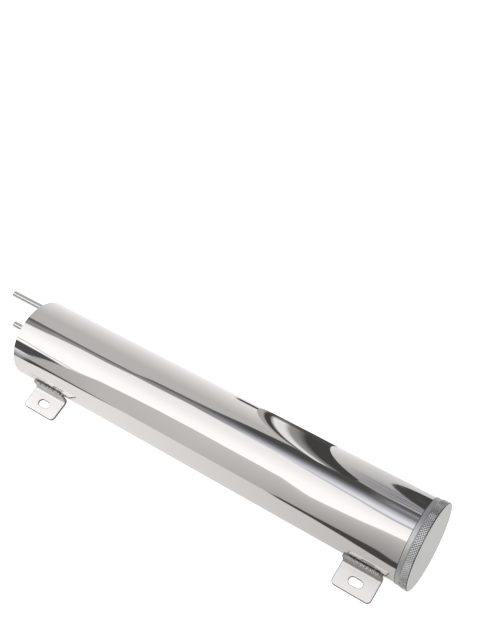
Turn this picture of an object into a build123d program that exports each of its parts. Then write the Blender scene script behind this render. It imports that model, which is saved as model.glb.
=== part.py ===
from build123d import *
from math import cos, radians, sin
import os

# A long cylindrical coolant overflow tank in polished stainless steel, lying on its side.
# One end is closed by a flat plate with two hose tubes, the other by a knurled screw cap.
# Two welded angle brackets carry it, each with a slot for one bolt.
# Frame, in millimetres: the origin is the centre of the slot pattern on the tabs' undersides,
# X runs along the tank towards the cap, Y away from the tabs and Z up through the slots.

# Tank body
body_diameter = 76.2
body_length = 406.4
body_wall = 1.5
end_plate_thickness = 2.5
end_plate_edge = 0.5
weld_fit = 0.05

# Neck ring, pressed into the tube's open end and welded
neck_band_length = 4.3
neck_band_rise = 0.5
neck_band_edge = 0.3
neck_spigot_length = 14.0
neck_wall = 3.15
neck_lead_in = 0.8

# Screw cap
cap_rim_length = 6.9
cap_rim_rise = 1.3
cap_face_chamfer = 0.9
cap_back_chamfer = 0.4
cap_seat_gap = 0.2
cap_plate_thickness = 4.0
cap_thread_length = 10.0
cap_thread_clearance = 0.4
cap_spigot_wall = 4.0
cap_spigot_chamfer = 0.8

# Seal ring, carried on the cap's spigot and held in a counterbore of the neck
seal_section = 1.9
seal_sides = 12
seal_stretch_gap = 0.15
seal_wall_gap = 0.35
seal_face_gap = 0.15
seal_floor_gap = 0.25

# Hose tubes
port_diameter = 6.35
port_wall = 0.9
port_mouth_chamfer = 0.25
coolant_port_length = 35.0
coolant_port_inside = 4.0
overflow_port_length = 55.0
overflow_wall_gap = 6.725
overflow_angle = 9.0
overflow_top_gap = 4.0
overflow_top_cut = 45.0
braze_leg = 1.4

# Mounting brackets
bracket_inset = 40.0
cap_bracket_inset = 28.4
sheet = 2.0
tab_width = 36.5
tab_reach = 22.0
tab_drop = 15.0
tab_corner_radius = 4.0
leg_clearance = 1.0
leg_corner_radius = 2.0
bend_radius = 2.5
slot_width = 7.0
slot_length = 12.5
slot_offset = 11.5

# Weld beads along the tops of the brackets
bead_radius = 2.3
bead_run_out = 1.0
bead_end_chamfer = 1.0
bead_fit = 0.02

# Places that follow from the sizes above
body_radius = body_diameter / 2
tube_bore = body_radius - body_wall
bracket_spacing = body_length - bracket_inset - cap_bracket_inset
leg_face_y = slot_offset + sheet
axis_y = leg_face_y + weld_fit + body_radius
axis_z = tab_drop
plate_x = -bracket_spacing / 2 - bracket_inset
tube_start_x = plate_x + end_plate_thickness
tube_end_x = plate_x + body_length
neck_bore = tube_bore - weld_fit - neck_wall
neck_inner_x = tube_end_x - neck_spigot_length
neck_face_x = tube_end_x + neck_band_length
cap_back_x = neck_face_x + cap_seat_gap
cap_face_x = cap_back_x + cap_rim_length
cap_spigot_radius = neck_bore - cap_thread_clearance
cap_radius = body_radius + cap_rim_rise
port_radius = port_diameter / 2
overflow_offset = tube_bore - overflow_wall_gap - port_radius
overflow_y = overflow_offset * cos(radians(overflow_angle))
overflow_z = overflow_offset * sin(radians(overflow_angle))
on_axis = Pos(0, axis_y, axis_z)


def turned(*points):
    """A solid of revolution about the tank's axis, from (distance along X, radius) points."""
    profile = make_face(Polyline(*points, close=True))
    return on_axis * revolve(profile, Axis.X)


# The tube
tank_tube = turned(
    (tube_start_x, tube_bore),
    (tube_end_x, tube_bore),
    (tube_end_x, body_radius),
    (tube_start_x, body_radius),
)

# The end plate, flush with the tube's outside, with a softened edge and a hole for each hose tube
end_plate = turned(
    (plate_x, 0),
    (tube_start_x, 0),
    (tube_start_x, body_radius),
    (plate_x, body_radius),
)
plate_rim = end_plate.edges().filter_by(GeomType.CIRCLE).sort_by(Axis.X)[0]
end_plate = chamfer(plate_rim, end_plate_edge)
plate_hole = Rot(0, 90, 0) * Cylinder(port_radius + weld_fit, 3 * end_plate_thickness)
coolant_place = Pos(plate_x, axis_y, axis_z)
overflow_place = Pos(plate_x, axis_y + overflow_y, axis_z + overflow_z)
end_plate -= coolant_place * plate_hole
end_plate -= overflow_place * plate_hole


def hose_tube(outside, inside):
    """A tube along X through the end plate, with its braze fillet against the plate's outer face."""
    profile = make_face(
        Polyline(
            (-outside, port_radius - port_wall),
            (inside, port_radius - port_wall),
            (inside, port_radius),
            (0, port_radius),
            (0, port_radius + braze_leg),
            (-braze_leg / 3, port_radius + braze_leg / 3),
            (-braze_leg, port_radius),
            (port_mouth_chamfer - outside, port_radius),
            (-outside, port_radius - port_mouth_chamfer),
            close=True,
        )
    )
    return revolve(profile, Axis.X)


# The short tube stops just inside the tank. The long one runs on inside as a standpipe
# that stops short of the neck, with its end cut at an angle.
coolant_tube = coolant_place * hose_tube(coolant_port_length, end_plate_thickness + coolant_port_inside)
overflow_tube = overflow_place * hose_tube(overflow_port_length, neck_inner_x - overflow_top_gap - plate_x)
cutter = Pos(port_diameter, 0, 0) * Box(2 * port_diameter, 4 * port_diameter, 4 * port_diameter)
top_cut = Pos(neck_inner_x - overflow_top_gap - port_radius, axis_y + overflow_y, axis_z + overflow_z)
overflow_tube -= top_cut * Rot(0, 0, overflow_top_cut) * cutter

# The neck ring: a spigot inside the tube, a narrow band outside and a counterbore for the seal
seal_ring_radius = cap_spigot_radius + seal_stretch_gap + seal_section / 2
counterbore_radius = seal_ring_radius + seal_section / 2 + seal_wall_gap
counterbore_x = cap_back_x - seal_face_gap - seal_section - seal_floor_gap
neck_band_radius = body_radius + neck_band_rise
neck_ring = turned(
    (neck_inner_x, neck_bore + neck_lead_in),
    (neck_inner_x + neck_lead_in, neck_bore),
    (counterbore_x, neck_bore),
    (counterbore_x, counterbore_radius),
    (neck_face_x, counterbore_radius),
    (neck_face_x, neck_band_radius - neck_band_edge),
    (neck_face_x - neck_band_edge, neck_band_radius),
    (tube_end_x, neck_band_radius),
    (tube_end_x, tube_bore - weld_fit),
    (neck_inner_x, tube_bore - weld_fit),
)

# The seal ring
seal_place = Pos(cap_back_x - seal_face_gap - seal_section / 2, seal_ring_radius)
o_ring = on_axis * revolve(seal_place * RegularPolygon(seal_section / 2, seal_sides), Axis.X)

# The cap: a thick face, a rim that stands proud of the band, and a hollow threaded spigot
spigot_end_x = cap_back_x - cap_thread_length
spigot_bore = cap_spigot_radius - cap_spigot_wall
cap = turned(
    (cap_face_x, 0),
    (cap_face_x, cap_radius - cap_face_chamfer),
    (cap_face_x - cap_face_chamfer, cap_radius),
    (cap_back_x + cap_back_chamfer, cap_radius),
    (cap_back_x, cap_radius - cap_back_chamfer),
    (cap_back_x, cap_spigot_radius),
    (spigot_end_x + cap_spigot_chamfer, cap_spigot_radius),
    (spigot_end_x, cap_spigot_radius - cap_spigot_chamfer),
    (spigot_end_x, spigot_bore),
    (cap_face_x - cap_plate_thickness, spigot_bore),
    (cap_face_x - cap_plate_thickness, 0),
)

# One bracket, centred on X: an angle bent from sheet, its leg against the tank's side
tab_edge_y = slot_offset - tab_reach
leg_top_z = axis_z - leg_clearance
outline = make_face(
    Plane.YZ
    * Polyline(
        (tab_edge_y, 0),
        (leg_face_y, 0),
        (leg_face_y, leg_top_z),
        (slot_offset, leg_top_z),
        (slot_offset, sheet),
        (tab_edge_y, sheet),
        close=True,
    )
)
bracket = extrude(outline, tab_width / 2, both=True)
crease = bracket.edges().filter_by(Axis.X).sort_by_distance((0, slot_offset, sheet))[0]
bracket = fillet(crease, bend_radius)
heel = bracket.edges().filter_by(Axis.X).sort_by_distance((0, leg_face_y, 0))[0]
bracket = fillet(heel, bend_radius + sheet)
tab_corners = bracket.edges().filter_by(Axis.Z).group_by(Axis.Y)[0]
bracket = fillet(tab_corners, tab_corner_radius)
leg_corners = bracket.edges().filter_by(Axis.Y).group_by(Axis.Z)[-1]
bracket = fillet(leg_corners, leg_corner_radius)
bracket -= extrude(SlotOverall(slot_length, slot_width), 2 * sheet, both=True)

# One weld bead, laid along the leg's top edge in the corner between the leg and the tube
bead_length = tab_width - 2 * leg_corner_radius - bead_run_out
bead_y = leg_face_y - bead_radius / 4
bead_z = leg_top_z + bead_radius * 0.8
bead = Rot(0, 90, 0) * Cylinder(bead_radius, bead_length)
bead = chamfer(bead.edges().filter_by(GeomType.CIRCLE), bead_end_chamfer)
bead = Pos(0, bead_y, bead_z) * bead
tube_outside = on_axis * Rot(0, 90, 0) * Cylinder(body_radius + bead_fit, 2 * tab_width)
leg_outside = Pos(0, leg_face_y - sheet / 2, leg_top_z - 2 * bead_radius) * Box(
    2 * tab_width, sheet + 2 * bead_fit, 4 * bead_radius + 2 * bead_fit
)
bead -= tube_outside
bead -= leg_outside
bead = bead.solids().sort_by(SortBy.VOLUME)[-1]

tube_end_place = Pos(-bracket_spacing / 2, 0, 0)
cap_end_place = Pos(bracket_spacing / 2, 0, 0)

nodes = {
    "tank_tube": tank_tube,
    "end_plate": end_plate,
    "coolant_tube": coolant_tube,
    "overflow_tube": overflow_tube,
    "neck_ring": neck_ring,
    "o_ring": o_ring,
    "cap": cap,
    "bracket_tube_end": tube_end_place * bracket,
    "bracket_cap_end": cap_end_place * bracket,
    "bracket_weld_tube_end": tube_end_place * bead,
    "bracket_weld_cap_end": cap_end_place * bead,
}

os.makedirs("parts", exist_ok=True)
for name, solid in nodes.items():
    export_step(solid, f"parts/{name}.step")
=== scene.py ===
# %% [markdown]
# # Coolant overflow tank
# A long polished stainless tube lies on its side. A flat plate with two hose tubes closes one end,
# and a knurled screw cap closes the other. Two welded angle brackets carry it.
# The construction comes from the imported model, so this lesson adds only what is better drawn than
# built: finishes, the knurl, the screw thread, the ripples of the welds, and the studio around it.

from math import pi, radians, sin

import bmesh
import bpy
from mathutils import Matrix, Vector


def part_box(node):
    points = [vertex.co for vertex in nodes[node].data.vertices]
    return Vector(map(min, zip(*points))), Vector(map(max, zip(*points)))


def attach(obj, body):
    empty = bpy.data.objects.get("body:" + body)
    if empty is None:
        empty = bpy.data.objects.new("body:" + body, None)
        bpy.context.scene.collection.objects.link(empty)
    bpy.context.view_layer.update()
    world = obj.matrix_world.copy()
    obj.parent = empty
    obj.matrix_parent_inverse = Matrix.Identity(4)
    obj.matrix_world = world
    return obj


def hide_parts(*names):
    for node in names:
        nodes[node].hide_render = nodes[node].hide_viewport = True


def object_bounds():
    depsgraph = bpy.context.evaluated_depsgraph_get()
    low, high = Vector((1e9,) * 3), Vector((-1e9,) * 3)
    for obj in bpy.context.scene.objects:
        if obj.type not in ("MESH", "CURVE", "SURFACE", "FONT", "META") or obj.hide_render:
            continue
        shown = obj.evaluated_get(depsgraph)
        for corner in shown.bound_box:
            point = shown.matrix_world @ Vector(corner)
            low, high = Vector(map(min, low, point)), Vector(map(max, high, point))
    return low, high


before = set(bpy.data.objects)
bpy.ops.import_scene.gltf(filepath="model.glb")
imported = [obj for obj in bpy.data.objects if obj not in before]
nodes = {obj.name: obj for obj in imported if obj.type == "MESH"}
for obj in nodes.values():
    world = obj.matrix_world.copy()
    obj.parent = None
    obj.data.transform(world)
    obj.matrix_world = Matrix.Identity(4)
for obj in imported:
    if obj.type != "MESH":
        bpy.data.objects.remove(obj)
cad_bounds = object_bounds()
print("nodes:", sorted(nodes))

# %% [markdown]
# ## Places on the tank
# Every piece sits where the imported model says. The tank's axis runs along X through the middle of
# the tube's box, so two numbers place everything round. They could be typed in, but read from the
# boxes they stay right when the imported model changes.

# %% Read the axis and the main places
MM = 0.001
tube_low, tube_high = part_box("tank_tube")
cap_low, cap_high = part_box("cap")
plate_low, plate_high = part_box("end_plate")
axis_y = (tube_low.y + tube_high.y) / 2
axis_z = (tube_low.z + tube_high.z) / 2
plate_face_x = plate_low.x
tube_end_x = tube_high.x
spigot_end_x = cap_low.x
cap_face_x = cap_high.x
cap_radius = (cap_high.z - cap_low.z) / 2
print("axis at y", round(axis_y, 5), "z", round(axis_z, 5), "cap radius", round(cap_radius, 5))
print("plate", round(plate_low.x, 5), "to", round(plate_high.x, 5), "cap face", round(cap_face_x, 5))

# %% [markdown]
# ## Small helpers for shader nodes
# A node tree is easier to read when each node takes one line. `add` makes a node and sets its
# inputs, and `value` writes one step of arithmetic as a Math node. Further helpers come where they
# are first needed.


# %% Node helpers
def wire(tree, target, source):
    """Link a socket into a socket, or set a plain value on it."""
    if isinstance(source, bpy.types.NodeSocket):
        tree.links.new(source, target)
    else:
        target.default_value = source


def add(tree, kind, inputs=None, **settings):
    """Make one node, with its settings and its inputs by name or number."""
    node = tree.nodes.new(kind)
    for name, setting in settings.items():
        setattr(node, name, setting)
    for name, source in (inputs or {}).items():
        wire(tree, node.inputs[name], source)
    return node


def value(tree, operation, *terms, clamp=False):
    """One Math node; returns its output."""
    node = add(tree, "ShaderNodeMath", operation=operation, use_clamp=clamp)
    for place, term in enumerate(terms):
        wire(tree, node.inputs[place], term)
    return node.outputs[0]


# %% [markdown]
# ## A shared effect: fine wear of polished and turned metal
# Polished steel is never a perfect mirror. Two effects return on every metal here: fine handling
# marks, which can be drawn out along the tank, and a slow cloudiness of the roughness. Each metal
# could have such nodes of its own, but one group with named inputs is built once, and each metal
# only sets its own strength.


# %% The surface wear group
def make_wear_group():
    """A node group that gives a roughness and a height for the relief."""
    tree = bpy.data.node_groups.new("metal_wear", "ShaderNodeTree")
    face = tree.interface
    defaults = {"Grain": 1.0, "Stretch": 1.0, "Base Roughness": 0.1, "Roughness Spread": 0.05}
    for name, default in defaults.items():
        face.new_socket(name, in_out="INPUT", socket_type="NodeSocketFloat").default_value = default
    for name in ("Roughness", "Height"):
        face.new_socket(name, in_out="OUTPUT", socket_type="NodeSocketFloat")
    inside = add(tree, "NodeGroupInput").outputs
    place = add(tree, "ShaderNodeTexCoord").outputs["Object"]
    parts = add(tree, "ShaderNodeSeparateXYZ", {0: place}).outputs
    along = value(tree, "DIVIDE", parts["X"], inside["Stretch"])
    drawn_out = add(tree, "ShaderNodeCombineXYZ", {"X": along, "Y": parts["Y"], "Z": parts["Z"]})
    scale = value(tree, "MULTIPLY", inside["Grain"], 900.0)
    marks = add(tree, "ShaderNodeTexNoise", {"Vector": drawn_out.outputs[0], "Scale": scale, "Detail": 4.0})
    cloud = add(tree, "ShaderNodeTexNoise", {"Vector": place, "Scale": 18.0, "Detail": 3.0})
    both = value(tree, "ADD", marks.outputs["Fac"], cloud.outputs["Fac"])
    spread = value(tree, "MULTIPLY", value(tree, "SUBTRACT", both, 1.0), inside["Roughness Spread"])
    rough = value(tree, "ADD", spread, inside["Base Roughness"], clamp=True)
    add(tree, "NodeGroupOutput", {"Roughness": rough, "Height": marks.outputs["Fac"]})
    return tree


wear_group = make_wear_group()
print("wear group:", len(wear_group.nodes), "nodes")

# %% [markdown]
# ## Finishes
# Each finish is one Principled shader. Numbers that are the same all over sit on its own sockets;
# only what changes over the surface, such as roughness and bump, comes from nodes. The metals here
# differ only in numbers, so one function makes them all.

# %% A metal with wear
relief_height = 0.02 * MM


def new_material(name):
    """A new material with nodes, and its node tree."""
    material = bpy.data.materials.new(name)
    material.use_nodes = True
    return material, material.node_tree


def metal(name, colour, roughness, spread, grain, stretch, bump):
    """A metal whose roughness and relief come from the wear group."""
    material, tree = new_material(name)
    sockets = tree.nodes["Principled BSDF"].inputs
    sockets["Base Color"].default_value = (*colour, 1)
    sockets["Metallic"].default_value = 1.0
    marks = {"Grain": grain, "Stretch": stretch, "Base Roughness": roughness, "Roughness Spread": spread}
    wear = add(tree, "ShaderNodeGroup", marks, node_tree=wear_group).outputs
    relief = {"Strength": bump, "Distance": relief_height, "Height": wear["Height"]}
    wire(tree, sockets["Roughness"], wear["Roughness"])
    wire(tree, sockets["Normal"], add(tree, "ShaderNodeBump", relief).outputs["Normal"])
    return material


# %% [markdown]
# ## The metals of this tank
# The tube and the plate are mirror polished, and the hose tubes a little less. The neck and the cap
# are turned and left satin, the brackets are satin sheet, and the welds are rough and grey. Each
# line gives the colour, the roughness and its spread, the grain and the stretch of the fine marks,
# and the strength of the relief.

# %% Seven metals
polished_steel = metal("polished_steel", (0.905, 0.882, 0.866), 0.035, 0.03, 0.4, 12.0, 0.05)
tube_steel = metal("tube_steel", (0.80, 0.79, 0.78), 0.12, 0.08, 0.8, 14.0, 0.15)
satin_neck = metal("satin_neck", (0.68, 0.683, 0.69), 0.44, 0.10, 2.0, 0.3, 0.25)
satin_cap = metal("satin_cap", (0.755, 0.755, 0.745), 0.40, 0.10, 1.2, 1.0, 0.20)
knurl_metal = metal("knurl_metal", (0.80, 0.80, 0.81), 0.14, 0.08, 1.2, 1.0, 0.10)
bracket_steel = metal("bracket_steel", (0.95, 0.925, 0.905), 0.42, 0.12, 1.0, 1.0, 0.15)
weld_metal = metal("weld_metal", (0.34, 0.33, 0.315), 0.42, 0.15, 0.8, 1.0, 0.6)
print("materials so far:", len(bpy.data.materials))

# %% [markdown]
# ## Finishes that change from place to place
# Heat tint, painted shade, painted reflection and cut edges belong to certain places on a piece. They
# could be painted by hand, but a mask worked out from the place keeps to the imported sizes. It is 1
# where the effect shows and 0 elsewhere, with soft edges. `blend_in` lets a second colour and
# roughness take over there, and it can be used again and again on the same metal.


# %% Masks by place
def remap(tree, number, low, high, to_low=0.0, to_high=1.0):
    """Map low to high onto 0 to 1, or onto another span, and hold the number at both ends."""
    spans = {"From Min": low, "From Max": high, "To Min": to_low, "To Max": to_high}
    return add(tree, "ShaderNodeMapRange", {"Value": number, **spans}).outputs["Result"]


def blend_in(material, mask, colour, roughness):
    """Let a second colour and roughness take over where the mask is 1."""
    tree = material.node_tree
    sockets = tree.nodes["Principled BSDF"].inputs
    for name, kind, other in (("Base Color", "RGBA", (*colour, 1)), ("Roughness", "FLOAT", roughness)):
        links = sockets[name].links
        under = links[0].from_socket if links else tuple(sockets[name].default_value)
        mix = add(tree, "ShaderNodeMix", {"Factor": mask, "A": under, "B": other}, data_type=kind)
        wire(tree, sockets[name], mix.outputs["Result"])


def object_place(tree):
    """The place on the piece, which is also the place in the frame."""
    place = add(tree, "ShaderNodeTexCoord").outputs["Object"]
    return add(tree, "ShaderNodeSeparateXYZ", {0: place}).outputs


def within(tree, number, low, high, soft):
    """1 while a number lies between low and high, with soft edges."""
    rise = remap(tree, number, low - soft, low + soft)
    fall = remap(tree, number, high + soft, high - soft)
    return value(tree, "MULTIPLY", rise, fall)


# %% [markdown]
# ## Levels, noise and products
# Oxide, heat tint and painted shade are uneven. Photographs of such surfaces could be laid over the
# piece, but a noise has no seams and needs no file. `noise` gives a cloudy level, `ramp` turns a
# level into colours between a few stops, and `product` combines masks.


# %% Helpers for uneven surfaces
def ramp(tree, factor, stops):
    """A colour ramp from (position, level or colour) stops; returns its colour output."""
    node = add(tree, "ShaderNodeValToRGB", {"Fac": factor})
    elements = node.color_ramp.elements
    while len(elements) > 1:
        elements.remove(elements[-1])
    for number, (position, level) in enumerate(stops):
        element = elements[0] if number == 0 else elements.new(position)
        element.position = position
        colour = (level, level, level) if isinstance(level, (int, float)) else level
        element.color = (*colour, 1)
    return node.outputs["Color"]


def noise(tree, scale, detail, roughness=0.5):
    """A noise that is fixed to the piece; returns its level from 0 to 1."""
    place = add(tree, "ShaderNodeTexCoord").outputs["Object"]
    settings = {"Vector": place, "Scale": scale, "Detail": detail, "Roughness": roughness}
    return add(tree, "ShaderNodeTexNoise", settings).outputs["Fac"]


def product(tree, *factors):
    """All factors multiplied, one Math node for each step."""
    result = factors[0]
    for factor in factors[1:]:
        result = value(tree, "MULTIPLY", result, factor)
    return result


# %% [markdown]
# ## Painted shade and reflection beside the welds
# A polished tube mirrors the tab below it. Thin pieces could lie over these places, but masks on the
# tube need no extra piece: a wide one paints a duller reflection where the tab is mirrored, and a
# narrow one paints a dark line of shade in the corner, where the leg's shaded side is mirrored.
# They lie a little nearer the cap than the bracket does, because the view is slanted. Each row of
# the loop gives where the masks start and stop, the level of the painted reflection, the level of
# the painted shade line, and how much of the line shows at its start.

# %% Painted reflection and shade on the tube beside each weld
tree = polished_steel.node_tree
place = object_place(tree)
near_side = value(tree, "LESS_THAN", place["Y"], axis_y)
dim_reflection_z = within(tree, place["Z"], 19.0 * MM, 24.5 * MM, 2.0 * MM)
shade_line_z = within(tree, place["Z"], 16.0 * MM, 18.4 * MM, 0.5 * MM)
clouded = ramp(tree, noise(tree, 260.0, 3.0), [(0.3, 0.75), (0.6, 1.0)])
for start_x, stop_x, dulled, dark, start_share in (
    (-190 * MM, -137 * MM, 0.78, 0.52, 0.35),
    (156 * MM, 193 * MM, 0.62, 0.22, 1.0),
):
    along = value(tree, "MULTIPLY", within(tree, place["X"], start_x, stop_x, 2.5 * MM), near_side)
    dim_reflection_colour = (dulled, dulled * 0.98, dulled * 0.955)
    # Painted reflection: a duller colour where the tube mirrors the tab
    blend_in(polished_steel, value(tree, "MULTIPLY", along, dim_reflection_z), dim_reflection_colour, 0.12)
    share = remap(tree, place["X"], start_x, (start_x + stop_x) / 2, start_share)
    # Painted shade: a dark line in the corner above the weld
    line = product(tree, along, shade_line_z, clouded, share)
    blend_in(polished_steel, line, (dark, dark * 0.93, dark * 0.87), 0.30)
    print("heat tint from x", round(start_x, 3), "to", round(stop_x, 3))

# %% [markdown]
# ## Brazing at the hose tubes
# The hose tubes are brazed into the plate, so a short length of them on both sides of the plate's
# face is darker and duller than the rest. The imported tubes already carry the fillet, so only its
# finish is added here, as a mask along X.

# %% Darker brazing where the hose tubes meet the plate
tree = tube_steel.node_tree
place = object_place(tree)
braze = within(tree, place["X"], plate_face_x - 1.7 * MM, plate_face_x + 5 * MM, 0.25 * MM)
blend_in(tube_steel, braze, (0.34, 0.31, 0.28), 0.42)
print("brazing at x", round(plate_face_x, 4))

# %% [markdown]
# ## Cut edges of the brackets
# A cut edge of sheet is darker than its rolled face. The edges could have a material of their own,
# but the way a face looks tells them apart just as well: faces that look sideways are edges, and so
# are the upright faces of the tab.

# %% Masks of the cut faces
tree = bracket_steel.node_tree
place = object_place(tree)
facing = add(tree, "ShaderNodeNewGeometry").outputs["True Normal"]
facing = add(tree, "ShaderNodeSeparateXYZ", {0: facing}).outputs
side_edge = value(tree, "GREATER_THAN", value(tree, "ABSOLUTE", facing["X"]), 0.35)
upright = value(tree, "LESS_THAN", value(tree, "ABSOLUTE", facing["Z"]), 0.5)
tab_edge = value(tree, "MULTIPLY", upright, value(tree, "LESS_THAN", place["Y"], 8 * MM))
cut_faces = value(tree, "MAXIMUM", side_edge, tab_edge)
print("bracket finish:", len(tree.nodes), "nodes")

# %% [markdown]
# ## Dark lines round the slot and the tab
# A fine dark line follows each cut edge on the face. Both lines run at one distance from a straight
# line, which gives them their round ends and corners. Sizes and places are those of the imported
# brackets.

# %% Dark lines along the cut edges
slot_straight = 2.75 * MM
slot_radius = 3.5 * MM
tab_straight = 14.25 * MM
tab_corner_y = -6.5 * MM
tab_corner_radius = 4 * MM
edge_soft = 0.12 * MM


def from_line(tree, along, half_length, across):
    """The distance from a straight line of some half length along X."""
    past_end = value(tree, "SUBTRACT", value(tree, "ABSOLUTE", along), half_length)
    past_end = value(tree, "MAXIMUM", past_end, 0.0)
    away = add(tree, "ShaderNodeCombineXYZ", {"X": past_end, "Y": across}).outputs[0]
    return add(tree, "ShaderNodeVectorMath", {0: away}, operation="LENGTH").outputs["Value"]


bracket_low, bracket_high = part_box("bracket_cap_end")
slot_x = (bracket_low.x + bracket_high.x) / 2
along_slot = value(tree, "SUBTRACT", value(tree, "ABSOLUTE", place["X"]), slot_x)
from_slot = from_line(tree, along_slot, slot_straight, place["Y"])
slot_dark_line = within(tree, from_slot, slot_radius - 0.3 * MM, slot_radius + 0.35 * MM, edge_soft)
past_corner = value(tree, "MAXIMUM", value(tree, "SUBTRACT", tab_corner_y, place["Y"]), 0.0)
from_tab = from_line(tree, along_slot, tab_straight, past_corner)
outline = within(tree, from_tab, tab_corner_radius - 0.5 * MM, 2 * tab_corner_radius, edge_soft)
cut_lines = value(tree, "MAXIMUM", slot_dark_line, outline)
blend_in(bracket_steel, value(tree, "MAXIMUM", cut_faces, cut_lines), (0.13, 0.125, 0.12), 0.38)
tree.nodes["Principled BSDF"].inputs["Metallic"].default_value = 0.42
print("slots at x", round(-slot_x, 4), "and", round(slot_x, 4))

# %% [markdown]
# ## The bend and the leg
# The leg is darker than the tab and finely speckled: heat tint from the weld, and painted shade for
# the leg's shaded side. It is one piece with the tab, bent from the same sheet, so it stays in the
# same material and a mask by height makes the change. The darkening starts just above the tab's
# upper face, and it is stronger near the cap, which is painted shade.

# %% The bend and the leg, darkened by heat tint and painted shade
tab_top_z = 2 * MM
leg_start = remap(tree, place["Z"], tab_top_z + 0.05 * MM, tab_top_z + 0.6 * MM)
speckle = ramp(tree, noise(tree, 900.0, 3.0), [(0.40, 1.0), (0.62, 0.82)])
# Painted shade: the darkening grows towards the cap
shade_toward_cap = remap(tree, place["X"], -0.1, 0.1, 0.72)
blend_in(bracket_steel, product(tree, leg_start, speckle, shade_toward_cap), (0.22, 0.212, 0.203), 0.45)
print("bracket finish:", len(tree.nodes), "nodes")

# %% [markdown]
# ## Weld metal
# Oxide leaves a weld grey, with dark and bright specks, and only half as metallic as clean steel.
# The specks are far smaller than a pool of the weld, so they are colour and not shape.

# %% Speckled weld metal
tree = weld_metal.node_tree
spots = ramp(
    tree,
    noise(tree, 1100.0, 4.0, 0.7),
    [(0.40, (0.12, 0.115, 0.11)), (0.50, (0.42, 0.41, 0.395)), (0.64, (0.72, 0.71, 0.69))],
)
wire(tree, tree.nodes["Principled BSDF"].inputs["Base Color"], spots)
tree.nodes["Principled BSDF"].inputs["Metallic"].default_value = 0.5
print("weld finish:", len(tree.nodes), "nodes")

# %% [markdown]
# ## The step at the neck
# The neck ring's band stands a little proud of the tube. The step between them lies in shadow. It is
# half a millimetre high, too little for the shape alone to show the shadow, so the first strip of the
# band gets painted shade as well.

# %% Painted shade at the step where the neck ring meets the tube
tree = satin_neck.node_tree
place = object_place(tree)
# Painted shade on the band's first strip, at the step
step_shade_line = within(tree, place["X"], tube_end_x - 1 * MM, tube_end_x + 0.42 * MM, 0.08 * MM)
blend_in(satin_neck, step_shade_line, (0.09, 0.09, 0.09), 0.4)
print("neck step at x", round(tube_end_x, 4))

# %% [markdown]
# ## Rubber for the seal ring
# The seal lies hidden between the neck and the cap, and shows when the cap comes off. It is matte
# black rubber, which is no metal, so it has a material of its own. A faint bloom makes its
# roughness uneven.


# %% Rubber
def rubber():
    """Matte black with an uneven roughness."""
    material, tree = new_material("seal_rubber")
    sockets = tree.nodes["Principled BSDF"].inputs
    sockets["Base Color"].default_value = (0.022, 0.022, 0.024, 1)
    wire(tree, sockets["Roughness"], remap(tree, noise(tree, 350.0, 3.0), 0.0, 1.0, 0.45, 0.7))
    return material


seal_rubber = rubber()
print("materials so far:", len(bpy.data.materials))

# %% [markdown]
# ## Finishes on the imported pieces
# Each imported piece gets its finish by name. The cap and the welds get theirs too, although more
# detailed pieces stand in for them further on.

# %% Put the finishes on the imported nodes
finish_of_node = {
    "tank_tube": polished_steel,
    "end_plate": polished_steel,
    "coolant_tube": tube_steel,
    "overflow_tube": tube_steel,
    "neck_ring": satin_neck,
    "o_ring": seal_rubber,
    "cap": satin_cap,
    "bracket_tube_end": bracket_steel,
    "bracket_cap_end": bracket_steel,
    "bracket_weld_tube_end": weld_metal,
    "bracket_weld_cap_end": weld_metal,
}
for name, finish in finish_of_node.items():
    if not nodes[name].data.materials:
        nodes[name].data.materials.append(finish)
    for slot in nodes[name].material_slots:
        slot.material = finish
print("finishes on", len(finish_of_node), "nodes")

# %% [markdown]
# ## Turning a piece on the tank's axis
# The cap is a turned piece, so its mesh is a profile spun about the axis, as on a lathe. Cylinders
# joined by Booleans could make it too, but a profile keeps the faces clean and says what a turner
# would cut. A full spin merges its last ring with the first.


# %% Lathe helpers
def profile_wire(shape, points):
    """Vertices and edges of an open profile, from (distance along X, radius) in metres."""
    corners = [shape.verts.new((x, axis_y, axis_z + radius)) for x, radius in points]
    edges = [shape.edges.new(pair) for pair in zip(corners, corners[1:])]
    return corners + edges


def spin_about_axis(shape, geometry, steps, turns=1.0, rise=0.0):
    """Spin the geometry about the tank's axis; a rise per turn makes a screw."""
    full = turns == 1.0 and rise == 0.0
    bmesh.ops.spin(
        shape,
        geom=geometry,
        cent=(0, axis_y, axis_z),
        axis=(1, 0, 0),
        dvec=(rise * turns / steps, 0, 0),
        angle=2 * pi * turns,
        steps=steps,
        use_merge=full,
    )


# %% [markdown]
# ## From a bmesh to a piece
# Every new piece ends in the same way: doubles are merged, faces are turned outwards, and the mesh
# goes into an object that rides on one of the tank's moving bodies. One helper does it, so that no
# piece can miss a step.


# %% Helpers that finish a piece
def mesh_of(shape, name):
    """Turn a bmesh into a mesh, and free the bmesh."""
    mesh = bpy.data.meshes.new(name)
    shape.to_mesh(mesh)
    shape.free()
    return mesh


def in_scene(name, data):
    """Make an object from a mesh, a lamp or a camera, and link it into the scene."""
    thing = bpy.data.objects.new(name, data)
    bpy.context.scene.collection.objects.link(thing)
    return thing


def finished(shape, name, material, body, smooth_under=None):
    """Turn a bmesh into an object that rides on a body."""
    bmesh.ops.remove_doubles(shape, verts=shape.verts, dist=1e-6)
    bmesh.ops.recalc_face_normals(shape, faces=shape.faces)
    mesh = mesh_of(shape, name)
    piece = in_scene(name, mesh)
    mesh.materials.append(material)
    if smooth_under is not None:
        mesh.shade_smooth()
        mesh.set_sharp_from_angle(angle=radians(smooth_under))
    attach(piece, body)
    print(name, "has", len(mesh.polygons), "faces")
    return piece


# %% [markdown]
# ## The screw cap
# The real cap has a fine diamond knurl rolled into its rim, and a screw thread on its spigot. Both
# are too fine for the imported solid, whose rim and spigot are plain. A knurl could be laid over the
# packed rim, but it would stand too proud. So one mesh stands for the cap: the same turned profile,
# with the rim a hair lower, and the knurl's tips end where the plain rim did.

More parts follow.
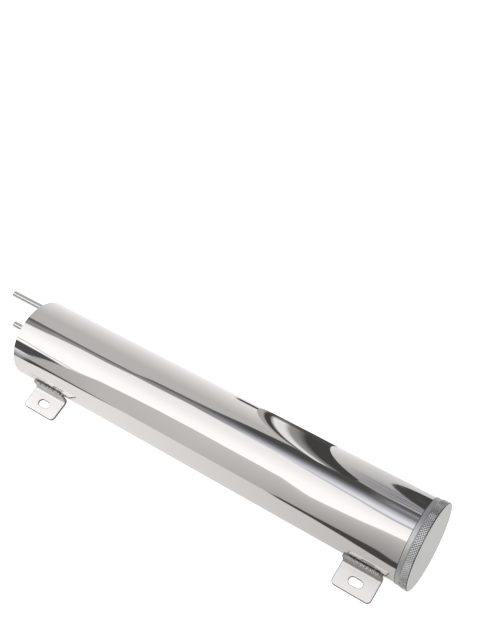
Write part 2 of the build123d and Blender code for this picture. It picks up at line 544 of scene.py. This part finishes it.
# %% The cap's turned profile
knurl_depth = 0.32 * MM
rim_radius = cap_radius - knurl_depth
rim_length = 6.9 * MM
cap_back_x = cap_face_x - rim_length
inner_face_x = cap_face_x - 4.0 * MM
face_chamfer = 0.45 * MM
back_chamfer = 0.4 * MM
spigot_root = 32.55 * MM
spigot_bore = 29.0 * MM
lead_length = 0.8 * MM
lead_depth = 0.6 * MM
near_axis = 0.01 * MM
cap_profile = [
    (cap_face_x, near_axis),
    (cap_face_x, cap_radius - face_chamfer),
    (cap_face_x - face_chamfer * 0.75, cap_radius - 0.10 * MM),
    (cap_face_x - face_chamfer, rim_radius),
    (cap_back_x + back_chamfer, rim_radius),
    (cap_back_x, rim_radius - back_chamfer),
    (cap_back_x, spigot_root),
    (spigot_end_x + lead_length, spigot_root),
    (spigot_end_x, spigot_root - lead_depth),
    (spigot_end_x, spigot_bore),
    (inner_face_x, spigot_bore),
    (inner_face_x, near_axis),
]
print("cap profile:", len(cap_profile), "corners, spigot to radius", round(spigot_root, 5))

# %% [markdown]
# The profile is open and stops just short of the axis. After the spin, the small rings at the
# middle of both faces are merged to one point each, so the cap is a closed solid.

# %% Spin the cap and close its middle
cap_shape = bmesh.new()
spin_about_axis(cap_shape, profile_wire(cap_shape, cap_profile), 192)
axis_point = Vector((axis_y, axis_z))
for x in (cap_face_x, inner_face_x):
    ring = [
        vertex
        for vertex in cap_shape.verts
        if abs(vertex.co.x - x) < 1e-7 and (vertex.co.yz - axis_point).length < 0.1 * MM
    ]
    bmesh.ops.pointmerge(cap_shape, verts=ring, merge_co=(x, axis_y, axis_z))
cap_piece = finished(cap_shape, "cap_turned", satin_cap, "cap", 25)
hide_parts("cap")

# %% [markdown]
# ## The diamond knurl
# Two families of grooves climb round the rim, one to the left and one to the right. Where they
# cross they leave small diamonds, whose tips are worn flat. A bump could draw them, but the rim's
# outline would stay smooth, so the grooves are real: a ring is spun and its vertices are pushed in.
# Each vertex keeps its height in a layer named relief, which the finish reads.

# %% The knurled ring
knurl_pitch = 2.3 * MM
steps_per_groove = 6
knurl_low_x = cap_back_x + back_chamfer
knurl_high_x = cap_face_x - face_chamfer
crests = round(2 * pi * cap_radius / knurl_pitch)
columns = steps_per_groove * crests
rows = round(steps_per_groove * (knurl_high_x - knurl_low_x) / knurl_pitch)
row_height = (knurl_high_x - knurl_low_x) / rows
groove_bottom = rim_radius - 0.03 * MM
groove_depth = knurl_depth + 0.02 * MM
knurl_shape = bmesh.new()
knurl_line = [(knurl_low_x + row_height * row, cap_radius) for row in range(rows + 1)]
spin_about_axis(knurl_shape, profile_wire(knurl_shape, knurl_line), columns)
relief_layer = knurl_shape.verts.layers.float.new("relief")


def groove(steps):
    """0 in a groove and 1 on the worn flat between two grooves."""
    from_groove = 1 - abs(2 * (steps % steps_per_groove) / steps_per_groove - 1)
    return min(1.0, 2.2 * from_groove)


for vertex in knurl_shape.verts:
    outward = Vector((0, vertex.co.y - axis_y, vertex.co.z - axis_z))
    angle = Vector((outward.z, outward.y)).angle_signed(Vector((1, 0)))
    column = round(angle / (2 * pi / columns))
    row = round((vertex.co.x - knurl_low_x) / row_height)
    relief = 0 if row in (0, rows) else min(groove(column + row), groove(column - row))
    vertex[relief_layer] = relief
    radius = groove_bottom + relief * groove_depth
    vertex.co = Vector((vertex.co.x, axis_y, axis_z)) + outward.normalized() * radius
knurl_piece = finished(knurl_shape, "cap_knurl", knurl_metal, "cap")
print("knurl:", crests, "crests round,", rows, "rows")

# %% [markdown]
# ## Grooves, tips and the edge of the face
# The grooves get painted shade, near black, and wear keeps the tips bright. A noise would scatter
# the dark at random, but the relief layer knows where the grooves are, so it sets the colour. A fine
# dark line of painted shade marks the edge where the cap's face meets its rim.

# %% Colours of the knurl with painted shade in its grooves, and a painted shade line round the face
tree = knurl_metal.node_tree
height = add(tree, "ShaderNodeAttribute", attribute_name="relief").outputs["Fac"]
# Painted shade in the grooves, and bright worn tips
shade_and_wear = ramp(tree, height, [(0.0, (0.05, 0.05, 0.055)), (0.55, (0.55, 0.55, 0.56)), (0.85, 0.98)])
wire(tree, tree.nodes["Principled BSDF"].inputs["Base Color"], shade_and_wear)
tree = satin_cap.node_tree
place = object_place(tree)
out_y = value(tree, "POWER", value(tree, "SUBTRACT", place["Y"], axis_y), 2.0)
out_z = value(tree, "POWER", value(tree, "SUBTRACT", place["Z"], axis_z), 2.0)
from_axis = value(tree, "SQRT", value(tree, "ADD", out_y, out_z))
# Painted shade: a dark line on the chamfer where the face meets the rim
near_rim = value(tree, "GREATER_THAN", from_axis, cap_radius - 0.44 * MM)
near_face = value(tree, "GREATER_THAN", place["X"], cap_face_x - 0.6 * MM)
blend_in(satin_cap, value(tree, "MULTIPLY", near_rim, near_face), (0.07, 0.07, 0.07), 0.35)
print("cap finish:", len(tree.nodes), "nodes")

# %% [markdown]
# ## The screw thread
# A thread is a small ridge that climbs by one pitch for each turn. A stack of plain rings would
# look alike from afar, but a spin with a rise is as short and makes a true screw. It stops short of
# the seal ring, which sits on the plain part of the spigot, next to the rim.

# %% The cap's thread
thread_pitch = 1.5 * MM
thread_turns = 3.5
thread_start_x = spigot_end_x + 0.9 * MM
spigot_crest = 33.22 * MM
thread_foot = spigot_root - 0.05 * MM
thread_profile = [
    (thread_start_x, thread_foot),
    (thread_start_x + thread_pitch * 0.42, spigot_crest),
    (thread_start_x + thread_pitch * 0.52, spigot_crest),
    (thread_start_x + thread_pitch * 0.94, thread_foot),
]
thread_shape = bmesh.new()
thread_start = profile_wire(thread_shape, thread_profile)
spin_about_axis(thread_shape, thread_start, round(96 * thread_turns), thread_turns, thread_pitch)
thread_piece = finished(thread_shape, "cap_thread", satin_cap, "cap", 30)

# %% [markdown]
# ## The weld beads
# A hand-laid weld is a row of overlapping pools, like a pushed-over stack of coins. One long tube
# with a bump would look like a hose, so each pool is a ball of its own, a little longer than wide,
# and the next one half covers it. Waves along the row change the size, the place and the lean from
# pool to pool, so that no two are alike.

# %% Weld pools along a bracket
pool_length = 2.0 * MM
pool_radius = 1.5 * MM
pool_step = 1.9 * MM


def weld_bead(node, name):
    """A row of pools in the place of a plain bead."""
    low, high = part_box(node)
    row_length = high.x - low.x - 2 * pool_length
    count = round(row_length / pool_step) + 1
    step = row_length / (count - 1)
    middle_z = low.z + 1.76 * MM
    middle_y = low.y + 1.5 * MM
    shape = bmesh.new()
    for number in range(count):
        swell = 1 + 0.07 * sin(number * 2.1) + 0.04 * sin(number * 5.3)
        drift_x = 0.18 * MM * sin(number * 3.7)
        place = Matrix.Translation((low.x + pool_length + step * number + drift_x, middle_y, middle_z))
        lean = Matrix.Rotation(radians(10 + 6 * sin(number * 1.3)), 4, "Z")
        size = Matrix.Diagonal((pool_length, pool_radius * swell, pool_radius * swell, 1))
        matrix = place @ lean @ size
        bmesh.ops.create_uvsphere(shape, u_segments=24, v_segments=12, radius=1.0, matrix=matrix)
    piece = finished(shape, name, weld_metal, "tank", 40)
    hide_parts(node)
    print(name, "has", count, "pools")


weld_bead("bracket_weld_tube_end", "weld_pools_tube_end")
weld_bead("bracket_weld_cap_end", "weld_pools_cap_end")

# %% [markdown]
# ## The studio
# A mirror shows only its surroundings, so the studio is half of this finish. For the camera and
# for soft light the surroundings are plain white. Shiny surfaces see a studio of long bands that
# run with the tank: a white sweep, a narrow dark gap, a bright softbox, a grey ceiling, a thin
# black line and the pale table. Cards and lamps could stand round the tank, but each would need
# many trials. The world paints the bands by direction instead: the angle about the tank's axis
# gives the band, and the lean along the axis moves each band's edge. The angle is 0 straight behind
# the tank, 90 straight up and 180 in front. The lean is 0 for what the tube end mirrors, and 1
# beyond what the cap end mirrors.

# %% Directions in the studio
world = bpy.data.worlds.new("studio")
bpy.context.scene.world = world
world.use_nodes = True
studio = world.node_tree
studio.nodes.clear()
direction = add(studio, "ShaderNodeTexCoord").outputs["Generated"]
parts = add(studio, "ShaderNodeSeparateXYZ", {0: direction}).outputs
seam_angle = -80.0
turn = value(studio, "MULTIPLY", value(studio, "ARCTAN2", parts["Z"], parts["Y"]), 180 / pi)
past_seam = value(studio, "LESS_THAN", turn, seam_angle)
turn = value(studio, "ADD", turn, value(studio, "MULTIPLY", past_seam, 360.0))
lean = remap(studio, parts["X"], -0.60, -0.10)
print("angles run from", seam_angle, "to", seam_angle + 360)

# %% [markdown]
# ## Bands in the studio
# Every band lies between two edge angles. `drift` gives an edge that moves with the lean, and
# `band` gives the mask between two edges. Stripes of fixed width would be simpler, but a real
# reflection narrows and widens along the tube, and drifting edges can follow that.

# %% Bands with edges that drift along the tank
widest_angle = 400.0


def with_lean(stops):
    """A level or a colour that changes with the lean."""
    return ramp(studio, lean, stops)


def drift(stops):
    """An angle that changes with the lean. A ramp holds 0 to 1, so the angle is scaled down for it."""
    share = with_lean([(position, angle / widest_angle) for position, angle in stops])
    return value(studio, "MULTIPLY", share, widest_angle)


def step_at(edge, softness):
    """0 below an edge angle and 1 above it."""
    node = add(studio, "ShaderNodeMapRange", {"Value": turn}, interpolation_type="SMOOTHSTEP")
    wire(studio, node.inputs["From Min"], value(studio, "SUBTRACT", edge, softness))
    wire(studio, node.inputs["From Max"], value(studio, "ADD", edge, softness))
    return node.outputs["Result"]


def band(low_edge, high_edge, softness):
    """1 between two edge angles and 0 outside them."""
    past_high = value(studio, "SUBTRACT", 1.0, step_at(high_edge, softness))
    return value(studio, "MULTIPLY", step_at(low_edge, softness), past_high)


# %% [markdown]
# ## Laying on the colours
# The picture of the studio is built like a painting, from the back to the front. `paint` lays a
# colour over it where a mask is 1, so later bands cover earlier ones.


# %% Paint helpers
def paint(below, above, mask):
    """One colour over another where the mask is 1."""
    layers = {"Factor": mask, "A": below, "B": above}
    return add(studio, "ShaderNodeMix", layers, data_type="RGBA").outputs["Result"]


def dimmed(colour, strength):
    """A colour made brighter or darker."""
    scaled = {0: colour, "Scale": strength}
    return add(studio, "ShaderNodeVectorMath", scaled, operation="SCALE").outputs[0]


def warm(level):
    """A grey with the faint warmth of the room."""
    return (level * 1.01, level, level * 0.985)


# %% [markdown]
# ## The white sweep
# The sweep is the large white surface behind the tank. It is brightest low down and fades with the
# angle, because a sweep curves up and away from its lamps. Near the cap it is dimmer.

# %% The white sweep behind the tank
sweep_levels = [(0.0, 1.05), (0.18, 1.02), (0.82, warm(0.50)), (1.0, warm(0.50))]
sweep = ramp(studio, remap(studio, turn, seam_angle, 60.0), sweep_levels)
picture = dimmed(sweep, with_lean([(0.6, 1.0), (0.68, 0.88), (0.75, 0.80), (0.86, 0.73)]))
print("sweep painted,", len(studio.nodes), "nodes so far")

# %% [markdown]
# ## A streaked haze near the cap
# Near the cap a cool haze with long streaks lies over the sweep's upper part. Plain colour would
# look printed there, so the haze takes its levels from a noise that is drawn out along the tank.


# %% The haze
def streaks(lean_scale, turn_scale, scale, detail):
    """A noise drawn out along the tank."""
    stretched = add(studio, "ShaderNodeCombineXYZ")
    wire(studio, stretched.inputs["X"], value(studio, "MULTIPLY", lean, lean_scale))
    wire(studio, stretched.inputs["Y"], value(studio, "MULTIPLY", turn, turn_scale))
    settings = {"Vector": stretched.outputs[0], "Scale": scale, "Detail": detail}
    return add(studio, "ShaderNodeTexNoise", settings).outputs["Fac"]


haze_reach = with_lean([(0.68, 0.0), (0.74, 0.5), (0.81, 0.9)])
haze_levels = [
    (0.32, (0.10, 0.10, 0.11)),
    (0.45, (0.24, 0.24, 0.26)),
    (0.55, (0.32, 0.32, 0.35)),
    (0.68, (0.52, 0.53, 0.60)),
]
long_streaks = streaks(4.0, 0.30, 1.0, 3.0)
haze = ramp(studio, long_streaks, haze_levels)
picture = paint(picture, haze, value(studio, "MULTIPLY", step_at(14.0, 7.0), haze_reach))
print("haze painted,", len(studio.nodes), "nodes so far")

# %% [markdown]
# ## A bar and a leaf in the sweep
# A short dark bar low in the sweep and a dark, leaf-shaped patch near the cap break up its white,
# as small things in a studio do. The leaf reaches below angle 0, which a ramp can't hold, so its
# angles are written 100 degrees too high and brought down afterwards.

# %% A dark bar and a dark leaf
bar_reach = with_lean([(0.448, 0.0), (0.454, 1.0), (0.50, 1.0), (0.506, 0.0)])
bar = value(studio, "MULTIPLY", band(-35.0, -22.0, 2.0), bar_reach)
picture = paint(picture, (0.07, 0.065, 0.06, 1), bar)
leaf_shift = 100.0
leaf_low = drift([(0.786, 100), (0.789, 95), (0.795, 89.5), (0.813, 81.9), (0.837, 76.9), (0.869, 74.3)])
leaf_low = value(studio, "SUBTRACT", leaf_low, leaf_shift)
leaf_high = drift(
    [(0.786, 101), (0.789, 105), (0.795, 109.5), (0.809, 114.9), (0.832, 122.5), (0.863, 127.6)]
)
leaf_high = value(studio, "SUBTRACT", leaf_high, leaf_shift)
leaf_reach = with_lean([(0.784, 0.0), (0.79, 1.0)])
leaf = value(studio, "MULTIPLY", band(leaf_low, leaf_high, 1.5), leaf_reach)
leaf_colour = ramp(studio, streaks(14.0, 0.16, 2.0, 4.0), [(0.5, 0.055), (0.62, 0.07), (0.72, 0.30)])
picture = paint(picture, leaf_colour, leaf)
print("bar and leaf painted,", len(studio.nodes), "nodes so far")

# %% [markdown]
# ## The dark gap
# A gap lies between the sweep and the softbox, where the room is dark. Its two edges wander along
# the tank, so that the reflection narrows and widens as on a real tube. Both are needed again for
# the softbox, so they come first.

# %% The edges of the gap
gap_start = drift(
    [
        (0.06, 67.4),
        (0.11, 68.4),
        (0.178, 69.4),
        (0.266, 68.5),
        (0.30, 62),
        (0.378, 58.5),
        (0.428, 55.6),
        (0.49, 49.5),
        (0.576, 43.9),
        (0.635, 41.9),
        (0.689, 41.9),
        (0.735, 43),
        (0.77, 47),
        (0.86, 46),
    ]
)
softbox_start = drift(
    [
        (0.06, 88),
        (0.073, 88),
        (0.10, 86),
        (0.118, 83.5),
        (0.165, 80),
        (0.214, 79.5),
        (0.266, 76),
        (0.321, 75),
        (0.378, 73),
        (0.458, 75),
        (0.542, 77.5),
        (0.631, 82),
        (0.699, 85.5),
        (0.746, 87.5),
        (0.781, 90),
        (0.818, 91),
        (0.86, 90),
    ]
)
print("gap edges set,", len(studio.nodes), "nodes so far")

# %% [markdown]
# ## The gap at the tube end
# At the tube end the gap starts dark and turns a soft grey. Its levels run across the gap, however
# wide it is, so `across` measures the angle as a share of the gap.


# %% The colours of the gap at the tube end
def across(low_edge, high_edge):
    """0 at one edge angle and 1 at the other."""
    width = value(studio, "SUBTRACT", high_edge, low_edge)
    return value(studio, "DIVIDE", value(studio, "SUBTRACT", turn, low_edge), width, clamp=True)


far_levels = [(0.0, 0.30), (0.07, 0.12), (0.3, 0.14), (0.55, 0.28), (1.0, 0.28)]
far_strength = with_lean([(0.07, 0.95), (0.12, 1.12), (0.45, 0.95)])
far_gap = dimmed(ramp(studio, across(gap_start, softbox_start), far_levels), far_strength)
print("far gap mixed,", len(studio.nodes), "nodes so far")

# %% [markdown]
# ## The gap near the cap
# Near the cap the gap starts black and turns a pale blue towards the softbox, with a thin grey line
# before it and streaks at its start. Halfway along the tank the first colouring gives way to this
# one.

# %% The colours of the gap near the cap
near_levels = [(0.45, 0.07), (0.62, (0.165, 0.17, 0.195)), (1.0, (0.82, 0.83, 0.90))]
near_gap = ramp(studio, remap(studio, turn, 40.0, 80.0), near_levels)
thin_reach = with_lean([(0.58, 0.0), (0.64, 0.7), (0.75, 0.7), (0.82, 1.0)])
thin_line = value(studio, "MULTIPLY", step_at(value(studio, "SUBTRACT", softbox_start, 4.0), 1.5), thin_reach)
near_gap = paint(near_gap, (0.46, 0.46, 0.49, 1), thin_line)
faded_reach = with_lean([(0.75, 0.0), (0.80, 1.0)])
below_line = value(studio, "SUBTRACT", 1.0, step_at(64.0, 4.0))
faded = ramp(studio, long_streaks, [(0.35, 0.09), (0.5, (0.19, 0.19, 0.205)), (0.66, (0.36, 0.37, 0.42))])
near_gap = paint(near_gap, faded, value(studio, "MULTIPLY", below_line, faded_reach))
gap_colour = paint(far_gap, near_gap, with_lean([(0.40, 0.0), (0.50, 1.0)]))
picture = paint(picture, gap_colour, step_at(gap_start, 1.0))
print("gap painted,", len(studio.nodes), "nodes so far")

# %% [markdown]
# ## The softbox
# The softbox is the brightest band, and it brightens with the angle. Its far edge wanders too. At
# the tube end a thin grey line runs close to that edge, as a seam in the cloth would.

# %% The softbox and its thin line
softbox_end = drift(
    [
        (0.12, 143.5),
        (0.14, 145),
        (0.157, 146),
        (0.165, 143),
        (0.181, 141),
        (0.216, 134.5),
        (0.274, 130.4),
        (0.335, 127.8),
        (0.40, 126.8),
        (0.595, 127.8),
        (0.625, 132.4),
        (0.655, 136.5),
        (0.686, 135),
        (0.764, 128.8),
        (0.812, 123.2),
        (0.86, 119.6),
    ]
)
softbox_levels = [(0.0, 0.88), (0.35, 0.94), (0.7, 1.08), (1.0, 1.12)]
softbox = ramp(studio, remap(studio, turn, 70.0, 130.0), softbox_levels)
line_middle = drift([(0.067, 135), (0.088, 136.5), (0.111, 139), (0.133, 140), (0.157, 141)])
half_line = 1.3
line_low = value(studio, "SUBTRACT", line_middle, half_line)
line_high = value(studio, "ADD", line_middle, half_line)
line_reach = with_lean([(0.157, 1.0), (0.175, 0.0)])
grey_line = value(studio, "MULTIPLY", band(line_low, line_high, 1.2), line_reach)
softbox = paint(softbox, (0.58, 0.58, 0.60, 1), grey_line)
picture = paint(picture, softbox, step_at(softbox_start, 1.2))
print("softbox painted,", len(studio.nodes), "nodes so far")

# %% [markdown]
# ## The ceiling, its dark edge and the table
# In front of the softbox hangs a grey ceiling, which darkens away from it. Below that lies the pale
# table. At both ends of the tank a black line parts the two. The ceiling is a mix of a near and a
# far grey, because it darkens more near the cap than at the tube end.

# %% The grey ceiling
line_start = drift(
    [
        (0.068, 188),
        (0.096, 180.5),
        (0.15, 181.5),
        (0.28, 182),
        (0.575, 182),
        (0.608, 179),
        (0.676, 178.5),
        (0.746, 176.5),
        (0.818, 175),
        (0.854, 181),
    ]
)
ceiling_near = with_lean([(0.15, warm(0.50)), (0.45, warm(0.62)), (0.85, warm(0.66))])
ceiling_far = with_lean([(0.15, warm(0.44)), (0.23, warm(0.53)), (0.42, warm(0.53)), (0.85, warm(0.29))])
away_from_softbox = value(studio, "POWER", across(softbox_end, line_start), 0.5)
ceiling = paint(ceiling_near, ceiling_far, away_from_softbox)
picture = paint(picture, ceiling, step_at(softbox_end, 1.2))
print("ceiling painted,", len(studio.nodes), "nodes so far")

# %% [markdown]
# The table starts where the black line ends, so its edge drifts with the line's. In the middle of
# the tank the two edges meet and the line vanishes.

# %% The table and the black line
table_start = drift(
    [
        (0.068, 192),
        (0.096, 192),
        (0.118, 189),
        (0.149, 187),
        (0.197, 185.5),
        (0.28, 182),
        (0.575, 182),
        (0.608, 184.5),
        (0.676, 186),
        (0.746, 190),
        (0.818, 196.5),
        (0.854, 199),
    ]
)
table = with_lean([(0.23, warm(0.82)), (0.86, warm(0.53))])
picture = paint(picture, table, step_at(table_start, 1.2))
edge_reach = with_lean([(0.24, 1.0), (0.28, 0.0), (0.575, 0.0), (0.605, 1.0)])
black_line = value(studio, "MULTIPLY", band(line_start, table_start, 1.2), edge_reach)
picture = paint(picture, (0.065, 0.06, 0.057, 1), black_line)
print("table painted,", len(studio.nodes), "nodes so far")

# %% [markdown]
# ## Past the tube end
# Past the tube end the ceiling stops. A short band there fades from light to dark, and above it a
# black wedge narrows towards the cap.

# %% A fading band and a dark wedge
beyond_levels = [(0.1, 0.82), (0.25, 0.58), (0.95, 0.22)]
beyond = ramp(studio, remap(studio, turn, 168.0, 192.0), beyond_levels)
beyond_reach = with_lean([(0.082, 1.0), (0.094, 0.0)])
picture = paint(picture, beyond, value(studio, "MULTIPLY", band(166.0, 191.0, 1.2), beyond_reach))
wedge_start = drift([(0.067, 143.5), (0.111, 144.5), (0.133, 146), (0.15, 148.5)])
wedge_end = drift([(0.06, 167), (0.088, 168.5), (0.098, 165.5), (0.112, 158), (0.132, 151.5), (0.148, 148.5)])
wedge_reach = with_lean([(0.146, 1.0), (0.152, 0.0)])
wedge = value(studio, "MULTIPLY", band(wedge_start, wedge_end, 1.2), wedge_reach)
picture = paint(picture, (0.075, 0.075, 0.08, 1), wedge)
print("wedge painted,", len(studio.nodes), "nodes so far")

# %% [markdown]
# ## Plain white for everything else
# Only shiny surfaces see the painted bands. The camera and soft light see plain white, so matte
# surfaces keep the colour that they were given. The kind of ray decides: Light Path tells a glossy
# ray from all others.

# %% White for the camera and for soft light
rays = add(studio, "ShaderNodeLightPath").outputs
shiny = add(studio, "ShaderNodeBackground", {"Color": picture, "Strength": 1.0}).outputs[0]
plain = add(studio, "ShaderNodeBackground", {"Color": (1, 1, 1, 1), "Strength": 1.0}).outputs[0]
mixed = add(studio, "ShaderNodeMixShader", {0: rays["Is Glossy Ray"], 1: plain, 2: shiny})
add(studio, "ShaderNodeOutputWorld", {"Surface": mixed.outputs[0]})
print("studio finished:", len(studio.nodes), "nodes")

# %% [markdown]
# ## The floor
# The floor is plain white. It takes the tank's soft shadow, and a little of its own white for the
# camera keeps the ground from turning grey. Shiny surfaces look through it to the studio's table,
# and so does a camera below it, so that the tank's underside can be looked at too.

# %% A white floor under the cap
floor_size = 3.0
floor_gap = 0.5 * MM


def make_floor():
    """A large grid just under the tank, which is stage and no part of it."""
    shape = bmesh.new()
    bmesh.ops.create_grid(shape, x_segments=1, y_segments=1, size=floor_size)
    bmesh.ops.translate(shape, verts=shape.verts, vec=(0, axis_y, cad_bounds[0][2] - floor_gap))
    mesh = mesh_of(shape, "floor")
    floor = in_scene("floor", mesh)
    material, tree = new_material("floor_white")
    tree.nodes.clear()
    path = add(tree, "ShaderNodeLightPath").outputs
    matte = add(tree, "ShaderNodeBsdfDiffuse", {"Color": (0.8, 0.8, 0.8, 1)}).outputs[0]
    white = add(tree, "ShaderNodeEmission", {"Color": (1, 1, 1, 1), "Strength": 0.62}).outputs[0]
    seen = add(tree, "ShaderNodeAddShader", {0: matte, 1: white}).outputs[0]
    lit = add(tree, "ShaderNodeMixShader", {0: path["Is Camera Ray"], 1: matte, 2: seen}).outputs[0]
    clear = add(tree, "ShaderNodeBsdfTransparent").outputs[0]
    from_below = add(tree, "ShaderNodeNewGeometry").outputs["Backfacing"]
    open_to = value(tree, "MAXIMUM", path["Is Glossy Ray"], from_below)
    final = add(tree, "ShaderNodeMixShader", {0: open_to, 1: lit, 2: clear}).outputs[0]
    add(tree, "ShaderNodeOutputMaterial", {"Surface": final})
    mesh.materials.append(material)


make_floor()
print("floor at z", round(cad_bounds[0][2] - floor_gap, 5))

# %% [markdown]
# ## A lamp for matte surfaces
# The brackets are satin sheet, so part of their light is scattered, and the tank above them hides
# much of the sky. A brighter world would lift everything else too, so a soft lamp over the tube end
# makes up for that. The polished metal already mirrors the softbox in the world, so the lamp stays
# out of its reflections.

# %% A soft lamp over the tube end
lamp_size = 0.25
lamp_watts = 1.2
lamp_offset = Vector((-0.12, -0.18, 0.45))


def make_lamp():
    """An area lamp that looks down at the bracket near the tube end."""
    lamp_data = bpy.data.lights.new("studio_lamp", "AREA")
    lamp_data.size = lamp_size
    lamp_data.energy = lamp_watts
    lamp = in_scene("studio_lamp", lamp_data)
    low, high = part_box("bracket_tube_end")
    aim = Vector(((low.x + high.x) / 2, low.y, high.z))
    facing_down = (-lamp_offset).to_track_quat("-Z", "Y").to_matrix().to_4x4()
    lamp.matrix_world = Matrix.Translation(aim + lamp_offset) @ facing_down
    lamp.visible_camera = False
    lamp.visible_glossy = False


make_lamp()
print("lamp:", lamp_watts, "W over", lamp_size, "m")

# %% [markdown]
# ## A post for the curved reflection
# A polished post beyond the tank is out of the camera's sight, and shows only in shiny surfaces.
# Its curved reflection breaks up the long bands near the cap, as tall things in a studio do. The
# post glows with the stripes that it would mirror, and its foot is dark.


# %% The stripes that a polished post mirrors, from its left edge to its right
def post_stripes(foot, rise, radius):
    """A glowing material with stripes that run up the post."""
    material, tree = new_material("studio_post")
    tree.nodes.clear()
    upward = rise.normalized()
    sideways = Vector((0.942, 0.337, 0))
    sideways = (sideways - upward * sideways.dot(upward)).normalized()
    place = add(tree, "ShaderNodeTexCoord").outputs["Object"]
    shifted = add(tree, "ShaderNodeVectorMath", {0: place, 1: foot}, operation="SUBTRACT").outputs[0]
    side = add(tree, "ShaderNodeVectorMath", {0: shifted, 1: sideways}, operation="DOT_PRODUCT")
    part = remap(tree, side.outputs["Value"], -radius, radius)
    levels = [
        (0.09, 0.41),
        (0.12, 0.055),
        (0.19, 0.055),
        (0.25, 0.86),
        (0.38, 0.80),
        (0.45, 0.33),
        (0.54, 0.26),
        (0.67, 0.055),
    ]
    stripes = ramp(tree, part, levels)
    low = remap(tree, object_place(tree)["Z"], 10 * MM, -4 * MM)
    low = value(tree, "MULTIPLY", low, ramp(tree, part, [(0.08, 0.0), (0.12, 0.9)]))
    layers = {"Factor": low, "A": stripes, "B": (0.075, 0.07, 0.07, 1)}
    shaded = add(tree, "ShaderNodeMix", layers, data_type="RGBA").outputs["Result"]
    light = add(tree, "ShaderNodeEmission", {"Color": shaded}).outputs[0]
    add(tree, "ShaderNodeOutputMaterial", {"Surface": light})
    return material


# %% [markdown]
# The post leans a little and stands behind the middle of the tank. It lights nothing matte and
# casts no shadow.

# %% A post that only reflections see
post_foot = Vector((0.0309, 0.1549, -0.0699))
post_head = Vector((0.0284, 0.2860, 0.2500))
post_radius = 39.5 * MM


def make_post():
    """A cylinder from foot to head, which is stage too."""
    rise = post_head - post_foot
    upright = rise.to_track_quat("Z", "Y").to_matrix().to_4x4()
    place = Matrix.Translation((post_foot + post_head) / 2) @ upright
    radii = {"radius1": post_radius, "radius2": post_radius}
    shape = bmesh.new()
    bmesh.ops.create_cone(shape, cap_ends=True, segments=96, depth=rise.length, matrix=place, **radii)
    mesh = mesh_of(shape, "studio_post")
    mesh.shade_smooth()
    mesh.set_sharp_from_angle(angle=radians(40))
    mesh.materials.append(post_stripes(post_foot, rise, post_radius))
    post = in_scene("studio_post", mesh)
    post.visible_camera = False
    post.visible_diffuse = False
    post.visible_shadow = False


make_post()
print("post:", round((post_head - post_foot).length, 3), "m long")

# %% [markdown]
# ## The camera
# The camera stands high in front of the cap end and looks down along the tank, a little turned
# about its own line of sight. The lens has the photograph's angle of view. A camera can be turned
# by three angles, but its own right, up and forward directions say more plainly how it looks.

# %% Camera at the photograph's angle
camera_data = bpy.data.cameras.new("camera")
camera_data.sensor_width = 36.0
camera_data.lens = 55.60
camera_data.clip_start = 0.01
camera = in_scene("camera", camera_data)
camera_place = Vector((0.33163, -0.16943, 0.80128))
right = Vector((0.8258, 0.5375, -0.1711)).normalized()
forward = Vector((-0.4042, 0.3524, -0.8440)).normalized()
up = right.cross(forward).normalized()
right = forward.cross(up).normalized()
turned = Matrix((right, up, -forward)).transposed().to_4x4()
camera.matrix_world = Matrix.Translation(camera_place) @ turned
bpy.context.scene.camera = camera
bpy.context.scene.view_settings.view_transform = "Standard"
print("camera", round((camera_place - Vector((0, axis_y, axis_z))).length, 3), "m from the tank's middle")

# %% [markdown]
# ## The end
# The dressed tank has to keep the size of the imported one. The last step brings the scene up to date.

# %% Bring the scene up to date
bpy.context.view_layer.update()
